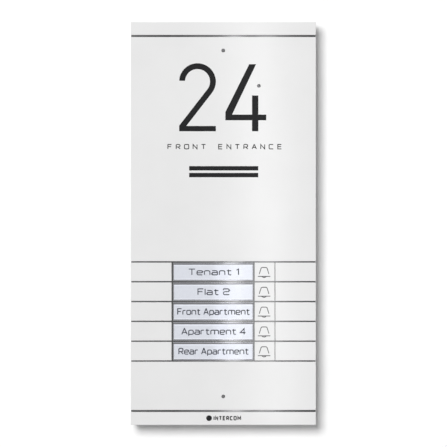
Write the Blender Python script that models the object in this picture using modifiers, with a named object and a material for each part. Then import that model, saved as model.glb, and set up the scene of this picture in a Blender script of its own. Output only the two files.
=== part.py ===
"""Door intercom panel for five flats, screwed to a wall.

Metres, +Z up. The wall is the plane y = 0 and the front faces -Y. A depth is a distance in front of
the wall, so y is minus the depth. The origin is the centre of the back. A range is a (low, high) pair.
"""

import math

import bmesh
import bpy
from mathutils import Matrix, Vector

MM = 0.001

# Driving sizes
WIDTH = 160 * MM
HEIGHT = 348 * MM
CLEARANCE = 0.3 * MM
FLATS = 5
KEY_TRAVEL = 1.0 * MM

# Layers, as depths
BACK_WALL = 2.4 * MM
BOARD = (4.2 * MM, 5.8 * MM)
HOUSING_FRONT = 12.9 * MM
CARRIER = (HOUSING_FRONT + CLEARANCE, HOUSING_FRONT + CLEARANCE + 1.5 * MM)
PLATE = (CARRIER[1] + CLEARANCE, CARRIER[1] + CLEARANCE + 2.9 * MM)
FRONT = PLATE[1] + 0.1 * MM
ON_BOARD = BOARD[1] + CLEARANCE

# Front layout
END_STRIP = 11.2 * MM
END_GROOVE = 1.75 * MM
ROW_GAP = 1.15 * MM
ROW_PITCH = 17.12 * MM
FIRST_GAP_Z = -33.2 * MM
LAST_GAP_Z = FIRST_GAP_Z - FLATS * ROW_PITCH
END_PLATE_Z = HEIGHT / 2 - END_STRIP - END_GROOVE
LEFT_BLANK_X = (-WIDTH / 2, -44.6 * MM)
BEZEL_X = (-43.4 * MM, 26.0 * MM)
WINDOW_X = (-42.6 * MM, 25.3 * MM)
KEY_X = (27.1 * MM, 44.4 * MM)
RIGHT_BLANK_X = (45.0 * MM, WIDTH / 2)
PLATE_EDGE = 0.35 * MM

# Name plate
WINDOW_HEIGHT = 13.2 * MM
WINDOW_DROP = 0.2 * MM
BEZEL = (PLATE[0], PLATE[0] + 1.6 * MM)
POCKET_FLOOR = BEZEL[0] + 0.6 * MM
CARD = (POCKET_FLOOR + CLEARANCE, POCKET_FLOOR + 2 * CLEARANCE)
WINDOW = (CARD[1] + CLEARANCE, FRONT)
WINDOW_EDGE = 0.25 * MM
LIGHT_SLOT = (18 * MM, 8 * MM)
LIGHT_SLOT_PITCH = 22 * MM

# Bell key
KEY_CAP = (PLATE[0] + KEY_TRAVEL, PLATE[1])
STEM_RADIUS = 3.2 * MM
STEM_END = 9.8 * MM
COLLAR_RADIUS = 4.4 * MM
COLLAR = (11.6 * MM, 12.6 * MM)
STEM_HOLE_RADIUS = 3.7 * MM
DOME = (ON_BOARD, STEM_END - CLEARANCE)
DOME_RADII = (5.4 * MM, 3.0 * MM)
DOME_WALL = 0.8 * MM

# Fixings on the centre line, and the microphone port
LOCK_SCREW_Z = 149.4 * MM
LOCK_SCREW = (6.4 * MM, PLATE[1] - 1.6 * MM)
LOCK_SCREW_RADIUS = 1.25 * MM
LOCK_HOLE_RADIUS = 1.6 * MM
LOCK_BOSS_RADIUS = 4 * MM
LOCK_BOSS_HOLE = 6 * MM
HEX_ACROSS = 1.5 * MM
HEX_DEPTH = 1.3 * MM
MICROPHONE_AT = (30.8 * MM, 118.9 * MM)
PORT_HOLE_RADIUS = 1.55 * MM
SCREEN_RADIUS = 1.25 * MM
SCREEN = (PLATE[0] + 0.2 * MM, PLATE[1] - 1.9 * MM)
SCREEN_HOLE_RADIUS = 0.7 * MM

# Housing
HOUSING_INSET = 1 * MM
HOUSING_WALL = 1.5 * MM
HOUSING_CORNER = 2.5 * MM
CARRIER_INSET = 0.4 * MM
GASKET_INSET = 4 * MM
GASKET_WIDTH = 3.5 * MM
GASKET_THICKNESS = 1.2 * MM
FRONT_SEAL_WIDTH = 2 * MM
FRONT_SEAL_THICKNESS = 2 * MM
WALL_HOLES_AT = (56 * MM, 132 * MM)
WALL_HOLE_RADIUS = 1.95 * MM
CABLE_Z = 52 * MM
CABLE_HOLE_RADIUS = 13 * MM
CABLE_BORE_RADIUS = 9 * MM
GROMMET_FLANGE = (15 * MM, 1.2 * MM)
SOUND_SLOTS = 7
SOUND_SLOT_PITCH = 4.6 * MM
SOUND_SLOT_HEIGHT = 1.8 * MM
SOUND_SLOT_DEPTH = (4.6 * MM, 10.4 * MM)
DRAIN_X = 40 * MM
DRAIN_SIZE = (8 * MM, 2 * MM)

# Electronics
KEY_BOARD_X = (-46 * MM, 50 * MM)
KEY_BOARD_Z = (-122 * MM, -29 * MM)
MAIN_BOARD_X = (-60 * MM, 60 * MM)
MAIN_BOARD_Z = (-18 * MM, 32 * MM)
POST_INSET = 5 * MM
POST_RADIUS = 3 * MM
PEG_RADIUS = 1.3 * MM
PEG_FRONT = 7 * MM
BOARD_HOLE_RADIUS = 1.7 * MM
GUIDE = (8.6 * MM, 10.4 * MM)
GUIDE_RIB_FRONT = HOUSING_FRONT - CLEARANCE
GUIDE_X = (-44 * MM, 24 * MM)
GUIDE_MARGIN = 1.2 * MM
GUIDE_LEG_RADIUS = 2 * MM
TERMINAL_X = (-21 * MM, 21 * MM)
TERMINAL_Z = (19 * MM, 30 * MM)
TERMINAL_FRONT = 12.4 * MM
TERMINALS = 6
TERMINAL_HOLE_RADIUS = 1.5 * MM
RIBBON_X = (-12 * MM, 12 * MM)
RIBBON_PLUG = (6 * MM, 3 * MM)
RIBBON_THICKNESS = 0.9 * MM
SPEAKER_AT = (-32 * MM, 112 * MM)
SPEAKER_FRONT = 12.6 * MM

# Finishes: colour, roughness, metallic
POWDER_WHITE = ((0.80, 0.80, 0.79, 1), 0.45, 0.0)
POWDER_GREY = ((0.62, 0.62, 0.61, 1), 0.55, 0.0)
BRUSHED_STEEL = ((0.60, 0.61, 0.62, 1), 0.28, 1.0)
SCREW_STEEL = ((0.50, 0.50, 0.51, 1), 0.35, 1.0)
CLEAR_ACRYLIC = ((0.86, 0.88, 0.94, 0.35), 0.08, 0.0)
GUIDE_ACRYLIC = ((0.82, 0.86, 0.92, 1), 0.2, 0.0)
CARD_WHITE = ((0.78, 0.79, 0.86, 1), 0.7, 0.0)
SILICONE = ((0.70, 0.70, 0.68, 1), 0.6, 0.0)
BLACK_RUBBER = ((0.03, 0.03, 0.03, 1), 0.8, 0.0)
BOARD_GREEN = ((0.02, 0.16, 0.07, 1), 0.4, 0.0)
TERMINAL_GREEN = ((0.03, 0.28, 0.12, 1), 0.45, 0.0)
RIBBON_GREY = ((0.35, 0.35, 0.36, 1), 0.5, 0.0)
BLACK_PLASTIC = ((0.04, 0.04, 0.04, 1), 0.5, 0.0)
CONE_PAPER = ((0.06, 0.06, 0.06, 1), 0.85, 0.0)
MAGNET_ZINC = ((0.45, 0.46, 0.48, 1), 0.35, 1.0)
CAN_ALUMINIUM = ((0.75, 0.75, 0.76, 1), 0.3, 1.0)

ROUND = 28
SMALL_ROUND = 16
PARTS = "door_intercom_panel"
CUTTERS = "cutters"


# Collections, finishes and objects


def clear_scene():
    for old in list(bpy.data.objects):
        bpy.data.objects.remove(old, do_unlink=True)
    for name in (PARTS, CUTTERS):
        bpy.context.scene.collection.children.link(bpy.data.collections.new(name))


def give_finish(part, finish):
    colour, roughness, metallic = finish
    material = bpy.data.materials.new(part.name + "_finish")
    material.use_nodes = True
    shader = material.node_tree.nodes["Principled BSDF"]
    shader.inputs["Base Color"].default_value = colour
    shader.inputs["Alpha"].default_value = colour[3]
    shader.inputs["Roughness"].default_value = roughness
    shader.inputs["Metallic"].default_value = metallic
    material.diffuse_color = colour
    part.data.materials.append(material)


def new_object(name, shape, collection, origin=(0, 0, 0)):
    """Makes an object from a bmesh in world places, with its origin where asked."""
    bmesh.ops.translate(shape, verts=shape.verts, vec=-Vector(origin))
    mesh = bpy.data.meshes.new(name)
    shape.to_mesh(mesh)
    shape.free()
    mesh.shade_smooth()
    mesh.set_sharp_from_angle(angle=math.radians(35))
    made = bpy.data.objects.new(name, mesh)
    made.location = origin
    bpy.data.collections[collection].objects.link(made)
    return made


def new_part(name, shape, finish, origin=(0, 0, 0)):
    part = new_object(name, shape, PARTS, origin)
    give_finish(part, finish)
    return part


def as_helper(helper):
    helper.hide_render = True
    helper.display_type = "WIRE"
    return helper


def new_helper(name, shape):
    return as_helper(new_object(name, shape, CUTTERS))


def combine(part, helper, operation):
    boolean = part.modifiers.new(helper.name, "BOOLEAN")
    boolean.solver = "EXACT"
    boolean.operation = operation
    boolean.object = helper


def round_edges(part, width, segments=2):
    bevel = part.modifiers.new("edges", "BEVEL")
    bevel.width = width
    bevel.segments = segments
    bevel.limit_method = "ANGLE"


# Shapes


def middle(span):
    return (span[0] + span[1]) / 2


def length(span):
    return span[1] - span[0]


def around(centre, size):
    return centre - size / 2, centre + size / 2


def grown(span, margin):
    return span[0] - margin, span[1] + margin


def add_box(shape, x, depth, z):
    centre = Vector((middle(x), -middle(depth), middle(z)))
    size = Vector((length(x), length(depth), length(z)))
    bmesh.ops.create_cube(shape, size=1, matrix=Matrix.LocRotScale(centre, None, size))


def box(x, depth, z):
    shape = bmesh.new()
    add_box(shape, x, depth, z)
    return shape


def add_rod(shape, at, radius, depth, segments=ROUND):
    """Adds a cylinder square to the wall; at is its (x, z)."""
    place = Matrix.Translation((at[0], -middle(depth), at[1])) @ Matrix.Rotation(math.pi / 2, 4, "X")
    bmesh.ops.create_cone(
        shape,
        cap_ends=True,
        segments=segments,
        radius1=radius,
        radius2=radius,
        depth=length(depth),
        matrix=place,
    )


def add_upright_rod(shape, x, depth, radius, z, segments=SMALL_ROUND):
    """Adds a vertical cylinder, centred at one x and one depth."""
    bmesh.ops.create_cone(
        shape,
        cap_ends=True,
        segments=segments,
        radius1=radius,
        radius2=radius,
        depth=length(z),
        matrix=Matrix.Translation((x, -depth, middle(z))),
    )


def round_corners(shape, radius, segments=4):
    """Rounds the edges that run square to the wall."""
    along_depth = [
        edge
        for edge in shape.edges
        if abs((edge.verts[0].co - edge.verts[1].co).normalized().y) > 0.99
    ]
    bmesh.ops.bevel(
        shape, geom=along_depth, offset=radius, segments=segments, profile=0.5, affect="EDGES"
    )


def turned(name, profile, at, collection, steps=ROUND):
    """Turns a profile of (radius, depth) points about the line square to the wall at (x, z).

    The profile runs front to back along its outer side. One that starts and ends on the axis is
    left open there, and any other is closed.
    """
    on_axis = profile[0][0] == 0
    points = [(radius, 0, depth) for radius, depth in profile]
    edges = [(i, i + 1) for i in range(len(points) - 1)]
    if not on_axis:
        edges.append((len(points) - 1, 0))
    mesh = bpy.data.meshes.new(name)
    mesh.from_pydata(points, edges, [])
    made = bpy.data.objects.new(name, mesh)
    made.location = (at[0], 0, at[1])
    made.rotation_euler = (math.pi / 2, 0, 0)
    screw = made.modifiers.new("turn", "SCREW")
    screw.steps = steps
    screw.render_steps = steps
    screw.use_smooth_shade = True
    screw.use_merge_vertices = on_axis
    screw.merge_threshold = 0.00001
    bpy.data.collections[collection].objects.link(made)
    return made


def turned_part(name, profile, at, finish, steps=ROUND):
    part = turned(name, profile, at, PARTS, steps)
    give_finish(part, finish)
    return part


def ring_shape(outer_x, outer_z, width, depth, name):
    """A flat rectangular ring, as its outer box and the helper that opens it."""
    opening = box(grown(outer_x, -width), grown(depth, CLEARANCE), grown(outer_z, -width))
    return box(outer_x, depth, outer_z), new_helper(name + "_opening", opening)


# Layout of the rows


def row_z(row):
    """The z range of a row's slat. Row 1 is the highest."""
    top = FIRST_GAP_Z - ROW_GAP / 2 - (row - 1) * ROW_PITCH
    return top - (ROW_PITCH - ROW_GAP), top


def row_centre(row):
    return middle(row_z(row))


def rows():
    return range(1, FLATS + 1)


def key_at(row):
    return middle(KEY_X), row_centre(row)


def add_light_slots(shape, depth):
    """Adds the boxes that let light through behind each name plate."""
    for row in rows():
        for step in (-1, 0, 1):
            x = middle(WINDOW_X) + step * LIGHT_SLOT_PITCH
            add_box(shape, around(x, LIGHT_SLOT[0]), depth, around(row_centre(row), LIGHT_SLOT[1]))


def post_places(board_x, board_z):
    inner_x = grown(board_x, -POST_INSET)
    inner_z = grown(board_z, -POST_INSET)
    return [(x, z) for x in inner_x for z in inner_z]


def boards():
    return (KEY_BOARD_X, KEY_BOARD_Z), (MAIN_BOARD_X, MAIN_BOARD_Z)


# Front


def make_plate(name, x, z):
    centre = (middle(x), -middle(PLATE), middle(z))
    plate = new_part(name, box(x, PLATE, z), POWDER_WHITE, centre)
    round_edges(plate, PLATE_EDGE, 3)
    return plate


def make_long_plates():
    across = (-WIDTH / 2, WIDTH / 2)
    top = HEIGHT / 2
    make_plate("top_strip", across, (top - END_STRIP, top))
    make_plate("bottom_strip", across, (-top, -top + END_STRIP))
    main_plate = make_plate("main_plate", across, (FIRST_GAP_Z + ROW_GAP / 2, END_PLATE_Z))
    lower_plate = make_plate("lower_plate", across, (-END_PLATE_Z, LAST_GAP_Z - ROW_GAP / 2))

    holes = bmesh.new()
    through = grown(PLATE, CLEARANCE)
    for z in (LOCK_SCREW_Z, -LOCK_SCREW_Z):
        add_rod(holes, (0, z), LOCK_HOLE_RADIUS, through)
    add_rod(holes, MICROPHONE_AT, PORT_HOLE_RADIUS, through)
    cutter = new_helper("plate_holes", holes)
    combine(main_plate, cutter, "DIFFERENCE")
    combine(lower_plate, cutter, "DIFFERENCE")


def make_blanks(row):
    make_plate(f"left_blank_{row}", LEFT_BLANK_X, row_z(row))
    make_plate(f"right_blank_{row}", RIGHT_BLANK_X, row_z(row))


def make_name_plate(row, slots):
    centre = (middle(WINDOW_X), -middle(WINDOW), row_centre(row))
    window_z = around(row_centre(row) - WINDOW_DROP, WINDOW_HEIGHT)

    bezel = new_part(f"name_bezel_{row}", box(BEZEL_X, BEZEL, row_z(row)), BRUSHED_STEEL, centre)
    round_edges(bezel, WINDOW_EDGE)
    pocket = box(grown(WINDOW_X, CLEARANCE), (POCKET_FLOOR, FRONT), grown(window_z, CLEARANCE))
    combine(bezel, new_helper(f"name_pocket_{row}", pocket), "DIFFERENCE")
    combine(bezel, slots, "DIFFERENCE")

    new_part(f"name_card_{row}", box(WINDOW_X, CARD, window_z), CARD_WHITE, centre)
    window = new_part(
        f"name_window_{row}", box(WINDOW_X, WINDOW, window_z), CLEAR_ACRYLIC, centre
    )
    round_edges(window, WINDOW_EDGE)


def make_bell_key(row):
    """The cap slides towards the wall, and its collar behind the carrier keeps it in."""
    x, z = key_at(row)
    cap = new_part(
        f"bell_key_{row}", box(KEY_X, KEY_CAP, row_z(row)), POWDER_WHITE, (x, -middle(KEY_CAP), z)
    )
    round_edges(cap, PLATE_EDGE, 3)
    stem = turned(
        f"key_stem_{row}",
        [
            (0, middle(KEY_CAP)),
            (STEM_RADIUS, middle(KEY_CAP)),
            (STEM_RADIUS, COLLAR[1]),
            (COLLAR_RADIUS, COLLAR[1]),
            (STEM_RADIUS, COLLAR[0]),
            (STEM_RADIUS, STEM_END),
            (0, STEM_END),
        ],
        (x, z),
        CUTTERS,
    )
    combine(cap, as_helper(stem), "UNION")


def make_key_dome(row):
    """A silicone dome, open towards the board, that returns the key."""
    base, crown = DOME_RADII
    back, front = DOME
    shoulder = back + 0.6 * length(DOME)
    turned_part(
        f"key_dome_{row}",
        [
            (0, front),
            (crown, front),
            (crown, shoulder),
            (base, back),
            (base - DOME_WALL, back),
            (crown - DOME_WALL, shoulder),
            (crown - DOME_WALL, front - DOME_WALL),
            (0, front - DOME_WALL),
        ],
        key_at(row),
        SILICONE,
        SMALL_ROUND,
    )


def make_carrier_plate(slots):
    x = grown((-WIDTH / 2, WIDTH / 2), -CARRIER_INSET)
    z = grown((-HEIGHT / 2, HEIGHT / 2), -CARRIER_INSET)
    carrier = new_part("carrier_plate", box(x, CARRIER, z), BRUSHED_STEEL)
    holes = bmesh.new()
    through = grown(CARRIER, CLEARANCE)
    for row in rows():
        add_rod(holes, key_at(row), STEM_HOLE_RADIUS, through)
    for z in (LOCK_SCREW_Z, -LOCK_SCREW_Z):
        add_rod(holes, (0, z), LOCK_HOLE_RADIUS, through)
    add_rod(holes, MICROPHONE_AT, SCREEN_RADIUS, through)
    combine(carrier, new_helper("carrier_holes", holes), "DIFFERENCE")
    combine(carrier, slots, "DIFFERENCE")


def make_lock_screw(name, z):
    shape = bmesh.new()
    add_rod(shape, (0, z), LOCK_SCREW_RADIUS, LOCK_SCREW)
    screw = new_part(name, shape, SCREW_STEEL, (0, -LOCK_SCREW[1], z))
    socket = bmesh.new()
    front = LOCK_SCREW[1]
    hex_radius = HEX_ACROSS / math.sqrt(3)
    add_rod(socket, (0, z), hex_radius, (front - HEX_DEPTH, front + CLEARANCE), 6)
    combine(screw, new_helper(name + "_socket", socket), "DIFFERENCE")


def make_microphone():
    screen_back, screen_front = SCREEN
    turned_part(
        "microphone_screen",
        [
            (SCREEN_RADIUS, screen_front),
            (SCREEN_RADIUS, screen_back),
            (SCREEN_HOLE_RADIUS, screen_back),
            (SCREEN_HOLE_RADIUS, screen_front),
        ],
        MICROPHONE_AT,
        SCREW_STEEL,
    )
    capsule_radius = 3 * MM
    capsule = (9.6 * MM, 12.2 * MM)
    bore = capsule_radius + CLEARANCE
    boot_radius = bore + 1.2 * MM
    boot = (capsule[0] - 1 * MM, HOUSING_FRONT)
    shape = bmesh.new()
    add_rod(shape, MICROPHONE_AT, capsule_radius, capsule)
    new_part("microphone_capsule", shape, CAN_ALUMINIUM)
    turned_part(
        "microphone_boot",
        [
            (SCREEN_RADIUS, boot[1]),
            (boot_radius, boot[1]),
            (boot_radius, boot[0]),
            (0, boot[0]),
            (0, capsule[0] - CLEARANCE),
            (bore, capsule[0] - CLEARANCE),
            (bore, capsule[1] + CLEARANCE),
            (SCREEN_RADIUS, capsule[1] + CLEARANCE),
        ],
        MICROPHONE_AT,
        BLACK_RUBBER,
    )


# Housing


def add_posts(shape):
    """Adds the posts that the boards sit on, each with a peg through its board."""
    for board_x, board_z in boards():
        for place in post_places(board_x, board_z):
            add_rod(shape, place, POST_RADIUS, (BACK_WALL / 2, BOARD[0] - CLEARANCE), SMALL_ROUND)


def add_pegs(shape):
    for board_x, board_z in boards():
        for place in post_places(board_x, board_z):
            add_rod(shape, place, PEG_RADIUS, (BACK_WALL, PEG_FRONT), SMALL_ROUND)


def add_sound_slots(shape):
    """Adds the slots through both side walls, level with the loudspeaker."""
    lowest = SPEAKER_AT[1] - (SOUND_SLOTS - 1) / 2 * SOUND_SLOT_PITCH
    across = grown((-WIDTH / 2, WIDTH / 2), CLEARANCE)
    for step in range(SOUND_SLOTS):
        z = lowest + step * SOUND_SLOT_PITCH
        add_box(shape, across, SOUND_SLOT_DEPTH, around(z, SOUND_SLOT_HEIGHT))


def add_drain_slots(shape):
    floor = -HEIGHT / 2 + HOUSING_INSET
    for x in (-DRAIN_X, DRAIN_X):
        depth = (BACK_WALL, BACK_WALL + DRAIN_SIZE[1])
        add_box(shape, around(x, DRAIN_SIZE[0]), depth, around(floor, 3 * HOUSING_WALL))


def add_back_holes(shape):
    through = grown((0, BACK_WALL), CLEARANCE)
    add_rod(shape, (0, CABLE_Z), CABLE_HOLE_RADIUS, through, 2 * ROUND)
    for x in (-WALL_HOLES_AT[0], WALL_HOLES_AT[0]):
        for z in (-WALL_HOLES_AT[1], WALL_HOLES_AT[1]):
            add_rod(shape, (x, z), WALL_HOLE_RADIUS, through)


def make_back_housing():
    outer_x = grown((-WIDTH / 2, WIDTH / 2), -HOUSING_INSET)
    outer_z = grown((-HEIGHT / 2, HEIGHT / 2), -HOUSING_INSET)
    shell = box(outer_x, (0, HOUSING_FRONT), outer_z)
    round_corners(shell, HOUSING_CORNER)
    housing = new_part("back_housing", shell, POWDER_GREY)

    hollow = box(
        grown(outer_x, -HOUSING_WALL),
        (BACK_WALL, HOUSING_FRONT + CLEARANCE),
        grown(outer_z, -HOUSING_WALL),
    )
    round_corners(hollow, HOUSING_CORNER - HOUSING_WALL)
    combine(housing, new_helper("housing_hollow", hollow), "DIFFERENCE")

    posts = bmesh.new()
    add_posts(posts)
    for z in (LOCK_SCREW_Z, -LOCK_SCREW_Z):
        add_rod(posts, (0, z), LOCK_BOSS_RADIUS, (BACK_WALL / 2, HOUSING_FRONT))
    combine(housing, new_helper("housing_posts", posts), "UNION")
    pegs = bmesh.new()
    add_pegs(pegs)
    combine(housing, new_helper("housing_pegs", pegs), "UNION")

    holes = bmesh.new()
    add_back_holes(holes)
    add_sound_slots(holes)
    add_drain_slots(holes)
    for z in (LOCK_SCREW_Z, -LOCK_SCREW_Z):
        add_rod(holes, (0, z), LOCK_HOLE_RADIUS, (LOCK_BOSS_HOLE, HOUSING_FRONT + CLEARANCE))
    combine(housing, new_helper("housing_holes", holes), "DIFFERENCE")

    groove = (-CLEARANCE, GASKET_THICKNESS + CLEARANCE)
    gasket_x, gasket_z = gasket_size()
    shape, opening = ring_shape(
        grown(gasket_x, CLEARANCE),
        grown(gasket_z, CLEARANCE),
        GASKET_WIDTH + 2 * CLEARANCE,
        groove,
        "gasket_groove",
    )
    groove_cutter = new_helper("gasket_groove", shape)
    combine(groove_cutter, opening, "DIFFERENCE")
    combine(housing, groove_cutter, "DIFFERENCE")


def gasket_size():
    x = grown((-WIDTH / 2, WIDTH / 2), -GASKET_INSET)
    z = grown((-HEIGHT / 2, HEIGHT / 2), -GASKET_INSET)
    return x, z


def make_seals():
    gasket_x, gasket_z = gasket_size()
    shape, opening = ring_shape(
        gasket_x, gasket_z, GASKET_WIDTH, (0, GASKET_THICKNESS), "wall_gasket"
    )
    combine(new_part("wall_gasket", shape, BLACK_RUBBER), opening, "DIFFERENCE")

    inset = HOUSING_INSET + HOUSING_WALL + CLEARANCE
    depth = (HOUSING_FRONT - FRONT_SEAL_THICKNESS, HOUSING_FRONT)
    x = grown((-WIDTH / 2, WIDTH / 2), -inset)
    z = grown((-HEIGHT / 2, HEIGHT / 2), -inset)
    shape, opening = ring_shape(x, z, FRONT_SEAL_WIDTH, depth, "front_seal")
    round_corners(shape, HOUSING_CORNER - HOUSING_WALL)
    combine(new_part("front_seal", shape, BLACK_RUBBER), opening, "DIFFERENCE")


def make_cable_grommet():
    flange_radius, flange_thickness = GROMMET_FLANGE
    neck_radius = CABLE_HOLE_RADIUS - CLEARANCE
    flange_back = BACK_WALL + CLEARANCE
    flange_front = flange_back + flange_thickness
    back = CLEARANCE
    turned_part(
        "cable_grommet",
        [
            (flange_radius, flange_front),
            (flange_radius, flange_back),
            (neck_radius, flange_back),
            (neck_radius, back),
            (CABLE_BORE_RADIUS, back),
            (CABLE_BORE_RADIUS, flange_front),
        ],
        (0, CABLE_Z),
        BLACK_RUBBER,
        2 * ROUND,
    )


# Electronics


def make_board(name, board_x, board_z):
    board = new_part(name, box(board_x, BOARD, board_z), BOARD_GREEN)
    holes = bmesh.new()
    for place in post_places(board_x, board_z):
        add_rod(holes, place, BOARD_HOLE_RADIUS, grown(BOARD, CLEARANCE), SMALL_ROUND)
    combine(board, new_helper(name + "_holes", holes), "DIFFERENCE")


def make_light_guide():
    """A clear sheet on four legs, with a rib behind each name plate."""
    top = row_centre(1) + LIGHT_SLOT[1] / 2 + GUIDE_MARGIN
    bottom = row_centre(FLATS) - LIGHT_SLOT[1] / 2 - GUIDE_MARGIN
    z_span = (bottom, top)
    guide = new_part("light_guide", box(GUIDE_X, GUIDE, z_span), GUIDE_ACRYLIC)
    extras = bmesh.new()
    for row in rows():
        add_box(
            extras,
            grown(GUIDE_X, -GUIDE_MARGIN),
            (middle(GUIDE), GUIDE_RIB_FRONT),
            around(row_centre(row), LIGHT_SLOT[1]),
        )
    inset = 2 * GUIDE_LEG_RADIUS
    for x in grown(GUIDE_X, -inset):
        for z in grown(z_span, -inset):
            add_rod(extras, (x, z), GUIDE_LEG_RADIUS, (ON_BOARD, GUIDE[0] + GUIDE_MARGIN / 2), SMALL_ROUND)
    combine(guide, new_helper("guide_ribs_and_legs", extras), "UNION")


def make_terminal_block():
    block = new_part(
        "terminal_block", box(TERMINAL_X, (ON_BOARD, TERMINAL_FRONT), TERMINAL_Z), TERMINAL_GREEN
    )
    holes = bmesh.new()
    pitch = length(TERMINAL_X) / TERMINALS
    wire_depth = ON_BOARD + TERMINAL_HOLE_RADIUS + 2 * CLEARANCE
    for number in range(TERMINALS):
        x = TERMINAL_X[0] + (number + 0.5) * pitch
        wire_z = (TERMINAL_Z[1] - 3 * MM, TERMINAL_Z[1] + CLEARANCE)
        add_upright_rod(holes, x, wire_depth, TERMINAL_HOLE_RADIUS, wire_z)
        well = (TERMINAL_FRONT - 2 * MM, TERMINAL_FRONT + CLEARANCE)
        add_rod(holes, (x, middle(TERMINAL_Z)), 1.3 * TERMINAL_HOLE_RADIUS, well, SMALL_ROUND)
    combine(block, new_helper("terminal_holes", holes), "DIFFERENCE")


def make_ribbon_cable():
    """A flat ribbon from the main board to the key board, with a plug at each end."""
    plug_height, plug_thickness = RIBBON_PLUG
    low = (KEY_BOARD_Z[1] - plug_height, KEY_BOARD_Z[1])
    high = (MAIN_BOARD_Z[0], MAIN_BOARD_Z[0] + plug_height)
    plug = (ON_BOARD, ON_BOARD + plug_thickness)
    shape = box(RIBBON_X, plug, low)
    ribbon = new_part("ribbon_cable", shape, RIBBON_GREY)
    extras = box(RIBBON_X, plug, high)
    combine(ribbon, new_helper("ribbon_upper_plug", extras), "UNION")
    strip = box(
        grown(RIBBON_X, -1 * MM),
        around(middle(plug), RIBBON_THICKNESS),
        (middle(low), middle(high)),
    )
    combine(ribbon, new_helper("ribbon_strip", strip), "UNION")


def make_speaker():
    """A basket, a paper cone inside it and a magnet behind it."""
    front = SPEAKER_FRONT
    turned_part(
        "speaker_frame",
        [
            (26.0 * MM, front),
            (26.0 * MM, front - 1.1 * MM),
            (22.8 * MM, front - 1.1 * MM),
            (14.0 * MM, front - 5.6 * MM),
            (8.0 * MM, front - 5.6 * MM),
            (8.0 * MM, front - 4.6 * MM),
            (13.5 * MM, front - 4.6 * MM),
            (21.8 * MM, front - 0.4 * MM),
            (21.8 * MM, front),
        ],
        SPEAKER_AT,
        BLACK_PLASTIC,
        2 * ROUND,
    )
    turned_part(
        "speaker_cone",
        [
            (0, front - 2.9 * MM),
            (6.0 * MM, front - 3.1 * MM),
            (20.4 * MM, front),
            (21.2 * MM, front),
            (20.9 * MM, front - 0.4 * MM),
            (6.0 * MM, front - 3.7 * MM),
            (0, front - 3.6 * MM),
        ],
        SPEAKER_AT,
        CONE_PAPER,
    )
    shape = bmesh.new()
    magnet_front = front - 5.6 * MM - CLEARANCE
    add_rod(shape, SPEAKER_AT, 12 * MM, (BACK_WALL + 2 * CLEARANCE, magnet_front), 2 * ROUND)
    new_part("speaker_magnet", shape, MAGNET_ZINC)


def build():
    clear_scene()
    slot_shape = bmesh.new()
    add_light_slots(slot_shape, grown((CARRIER[0], BEZEL[1]), CLEARANCE))
    slots = new_helper("light_slots", slot_shape)

    make_seals()
    make_back_housing()
    make_cable_grommet()
    make_carrier_plate(slots)
    make_long_plates()
    for row in rows():
        make_blanks(row)
        make_name_plate(row, slots)
        make_bell_key(row)
        make_key_dome(row)
    for name, (board_x, board_z) in zip(("key_board", "main_board"), boards()):
        make_board(name, board_x, board_z)
    make_light_guide()
    make_terminal_block()
    make_ribbon_cable()
    make_speaker()
    make_microphone()
    make_lock_screw("lock_screw_top", LOCK_SCREW_Z)
    make_lock_screw("lock_screw_bottom", -LOCK_SCREW_Z)


build()
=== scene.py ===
"""Looks of the door intercom panel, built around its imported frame.

Metres, +Z up. The wall is the plane y = 0 and the panel's front faces -Y.
"""

import math

import bmesh
import bpy
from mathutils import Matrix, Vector


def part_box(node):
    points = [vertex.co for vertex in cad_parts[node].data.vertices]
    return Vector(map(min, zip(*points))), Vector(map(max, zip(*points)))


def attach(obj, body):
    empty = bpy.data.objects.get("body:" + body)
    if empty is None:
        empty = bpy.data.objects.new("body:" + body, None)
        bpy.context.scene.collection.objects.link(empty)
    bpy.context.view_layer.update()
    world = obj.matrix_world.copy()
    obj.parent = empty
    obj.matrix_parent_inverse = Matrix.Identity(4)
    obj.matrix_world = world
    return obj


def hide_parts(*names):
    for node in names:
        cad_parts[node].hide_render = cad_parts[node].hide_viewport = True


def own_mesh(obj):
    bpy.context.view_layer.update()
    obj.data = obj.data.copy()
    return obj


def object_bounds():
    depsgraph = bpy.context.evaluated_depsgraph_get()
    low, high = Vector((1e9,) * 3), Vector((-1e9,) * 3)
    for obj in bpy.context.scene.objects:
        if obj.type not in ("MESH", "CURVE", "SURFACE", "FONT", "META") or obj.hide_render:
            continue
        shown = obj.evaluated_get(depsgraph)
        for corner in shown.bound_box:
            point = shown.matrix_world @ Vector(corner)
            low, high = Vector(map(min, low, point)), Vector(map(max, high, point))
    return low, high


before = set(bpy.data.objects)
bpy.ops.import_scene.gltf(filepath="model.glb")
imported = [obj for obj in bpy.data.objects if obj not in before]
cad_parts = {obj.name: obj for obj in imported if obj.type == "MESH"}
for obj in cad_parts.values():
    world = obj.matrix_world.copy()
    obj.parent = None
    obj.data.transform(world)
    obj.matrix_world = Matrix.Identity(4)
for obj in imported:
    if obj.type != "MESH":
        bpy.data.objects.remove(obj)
cad_low, cad_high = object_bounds()

MM = 0.001

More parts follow.
